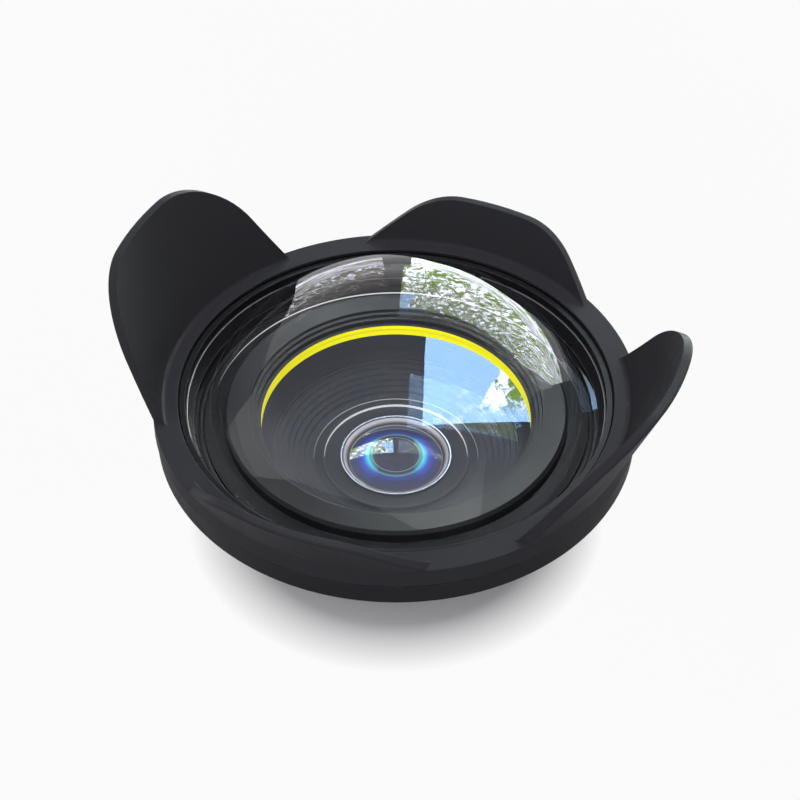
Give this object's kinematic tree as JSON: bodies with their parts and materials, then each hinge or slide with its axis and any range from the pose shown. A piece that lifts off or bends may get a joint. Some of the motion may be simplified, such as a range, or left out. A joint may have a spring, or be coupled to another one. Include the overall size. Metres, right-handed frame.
{
  "type": "wide-angle conversion lens",
  "caption": "Underwater wide-angle conversion lens with a glass dome, a petal hood that turns and lifts off, and a threaded rear mount.",
  "frame": {"origin": "centre of the end face of the rear thread, on the surface the lens stands on", "axes": "+Z along the optical axis, out through the dome; +X through the long petals; +Y through the short petals"},
  "size_m": [0.1486, 0.134, 0.0668],
  "materials": {
    "black_anodised": "satin hard-anodised black",
    "matt_anodised": "matt black against stray light",
    "hood_plastic": "satin black moulded",
    "dome_glass": "polished, coated",
    "lens_glass": "polished, blue coated",
    "bright_metal": "bright turned",
    "yellow_anodised": "satin yellow",
    "shim_brass": "rolled",
    "seal_rubber": "matt",
    "black_steel": "black oxide",
    "acetal": "turned, slippery"
  },
  "bodies": {
    "barrel": {"mount_ring": "black_anodised", "mount_lock_screws": "black_steel", "rear_shell": "black_anodised", "rear_lens": "lens_glass", "rear_lens_seal": "seal_rubber", "rear_retaining_ring": "black_anodised", "lens_cell": "matt_anodised", "cell_retaining_ring": "matt_anodised", "fourth_lens": "lens_glass", "lower_spacer": "matt_anodised", "aperture_stop": "matt_anodised", "upper_spacer": "matt_anodised", "third_lens": "lens_glass", "silver_bezel": "bright_metal", "name_ring": "matt_anodised", "inner_trim_ring": "bright_metal", "outer_trim_ring": "bright_metal", "light_trap": "matt_anodised", "second_lens_shim": "shim_brass", "second_lens": "lens_glass", "yellow_ring": "yellow_anodised", "baffle_ring": "matt_anodised", "front_shell": "black_anodised", "shell_seal": "seal_rubber", "dome_seal": "seal_rubber", "dome_glass": "dome_glass", "dome_retaining_ring": "black_anodised"},
    "slip_ring": {"hood_slip_ring": "acetal"},
    "hood": {"hood": "hood_plastic"},
    "lock_screw_1": {"hood_lock_screw_1": "black_steel"},
    "lock_screw_2": {"hood_lock_screw_2": "black_steel"}
  },
  "joints": [
    {"name": "hood_turn", "type": "hinge", "parent": "barrel", "child": "slip_ring", "pos_m": [0, 0, 0.033], "axis": [0, 0, 1], "continuous": true},
    {"name": "hood_lift", "type": "slide", "parent": "slip_ring", "child": "hood", "axis": [0, 0, 1], "range_m": [0, 0.04]},
    {"name": "lock_screw_1_back_off", "type": "slide", "parent": "hood", "child": "lock_screw_1", "axis": [0.7071, 0.7071, 0], "range_m": [0, 0.0009]},
    {"name": "lock_screw_2_back_off", "type": "slide", "parent": "hood", "child": "lock_screw_2", "axis": [-0.7071, 0.7071, 0], "range_m": [0, 0.0009]}
  ]
}
